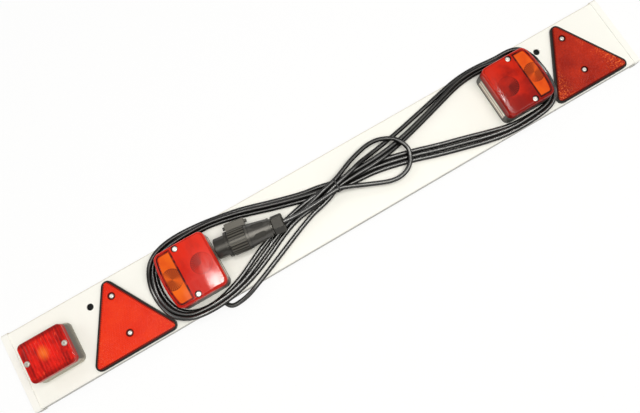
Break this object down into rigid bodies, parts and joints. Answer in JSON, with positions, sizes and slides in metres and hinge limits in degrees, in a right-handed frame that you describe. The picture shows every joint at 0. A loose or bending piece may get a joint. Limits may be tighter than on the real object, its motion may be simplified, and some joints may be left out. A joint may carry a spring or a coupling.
{
  "type": "trailer lighting board",
  "caption": "White channel board with rear combination lamps, a fog lamp, red triangle reflectors and a coiled cable ending in a round trailer plug.",
  "frame": {"origin": "middle of the board on the floor plane under its back rims", "axes": "+X along the board away from the fog lamp, +Y up the board towards the tips of the triangles, +Z out of the lamp face"},
  "size_m": [1.22, 0.1627, 0.0671],
  "materials": {
    "board_white": "satin white extruded vinyl",
    "cap_white": "satin white moulded cap",
    "lamp_black": "fine-grained black moulding",
    "lens_red": "polished transparent red",
    "lens_amber": "polished transparent amber",
    "window_clear": "clear ribbed",
    "seal_rubber": "soft black rubber",
    "zinc_steel": "bright zinc plated",
    "screw_chrome": "bright plated",
    "bulb_glass": "clear bulb glass",
    "holder_steel": "plated sheet steel",
    "fog_grey": "grey moulding",
    "fog_red": "polished transparent red with flutes",
    "reflector_red": "red prism reflector",
    "reflector_black": "black moulding",
    "cable_black": "smooth black sheath",
    "tie_black": "black tie",
    "grommet_rubber": "black rubber",
    "plug_charcoal": "charcoal moulding",
    "plug_brass": "bright brass pins"
  },
  "bodies": {
    "root": {"board_panel": "board_white", "end_cap_left": "cap_white", "end_cap_right": "cap_white", "lamp_bolts": "zinc_steel", "lamp_washers": "zinc_steel", "lamp_nuts": "zinc_steel", "fog_lamp_base": "fog_grey", "fog_lamp_seal": "seal_rubber", "fog_lamp_lens": "fog_red", "fog_lamp_bulb": "bulb_glass", "fog_lamp_bulb_holder": "holder_steel", "fog_lamp_screws": "screw_chrome", "fog_lamp_nuts": "zinc_steel", "reflector_screws": "screw_chrome", "reflector_nuts": "zinc_steel", "cable_grommet": "grommet_rubber", "cable_hank": "cable_black", "cable_lead": "cable_black", "cable_loop": "cable_black", "cable_plug_lead": "cable_black", "cable_tie": "tie_black", "plug_housing": "plug_charcoal", "plug_pin_carrier": "lamp_black", "plug_pins": "plug_brass", "plug_rear": "plug_charcoal", "plug_gland_nut": "plug_charcoal", "plug_gland_seal": "grommet_rubber", "left_lamp_base": "lamp_black", "left_lens_seal": "seal_rubber", "left_red_lens": "lens_red", "left_amber_lens": "lens_amber", "left_plate_window": "window_clear", "left_lens_screws": "screw_chrome", "left_lamp_bulbs": "bulb_glass", "left_lamp_bulb_holders": "holder_steel", "left_reflector_backing": "reflector_black", "left_reflector_plate": "reflector_red", "right_lamp_base": "lamp_black", "right_lens_seal": "seal_rubber", "right_red_lens": "lens_red", "right_amber_lens": "lens_amber", "right_plate_window": "window_clear", "right_lens_screws": "screw_chrome", "right_lamp_bulbs": "bulb_glass", "right_lamp_bulb_holders": "holder_steel", "right_reflector_backing": "reflector_black", "right_reflector_plate": "reflector_red"}
  },
  "joints": []
}
